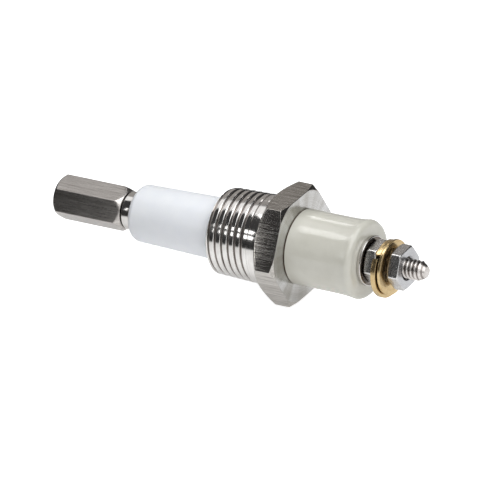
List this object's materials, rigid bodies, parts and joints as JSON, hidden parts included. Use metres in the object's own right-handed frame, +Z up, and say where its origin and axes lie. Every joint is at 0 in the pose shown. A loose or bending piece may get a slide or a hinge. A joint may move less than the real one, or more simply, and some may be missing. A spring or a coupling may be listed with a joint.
{
  "type": "liquid level electrode fitting",
  "caption": "Straight level electrode fitting: hexagon body with tapered pipe thread, insulators round a central stud, hexagon rod coupling at the wet end and a nut and washer terminal outside.",
  "frame": {"origin": "on the axis, at the hexagon's port side face, where the tapered thread starts", "axes": "+X along the axis, towards the wiring terminal. The rod coupling points along -X. +Z is up in the picture"},
  "size_m": [0.0998, 0.029, 0.0274],
  "materials": {
    "body_steel": "turned and polished stainless steel, with drawn flats on the hexagon",
    "white_insulator": "machined white fluoropolymer, satin",
    "gasket_fibre": "thin dark compressed fibre",
    "cream_insulator": "smooth ivory glaze, glossy",
    "stud_steel": "rolled thread, bright",
    "collar_steel": "turned and polished",
    "coupling_steel": "drawn hexagon bar, satin flats with bright edges",
    "washer_steel": "stamped and tumbled, bright rim",
    "nut_steel": "bright with broken edges",
    "washer_brass": "plain brass, lightly tarnished"
  },
  "bodies": {
    "fitting": {"body": "body_steel", "lower_insulator": "white_insulator", "seat_gasket": "gasket_fibre", "upper_insulator": "cream_insulator", "electrode_stud": "stud_steel", "lower_collar": "collar_steel", "rod_coupling": "coupling_steel", "clamp_washer": "washer_steel", "jam_nut": "nut_steel", "terminal_lock_washer": "washer_brass"},
    "terminal_washer": {"terminal_flat_washer": "washer_brass"},
    "terminal_nut": {"terminal_nut": "nut_steel"}
  },
  "joints": [
    {"name": "nut_travel", "type": "slide", "parent": "fitting", "child": "terminal_washer", "axis": [1, 0, 0], "range_m": [0, 0.00424]},
    {"name": "nut_turn", "type": "hinge", "parent": "terminal_washer", "child": "terminal_nut", "pos_m": [0.03313, 0, 0], "axis": [1, 0, 0], "range_deg": [-30, 1500]}
  ],
  "couplings": [
    {"joint": "nut_turn", "follows": "nut_travel", "rad_per_m": 5936.9}
  ]
}
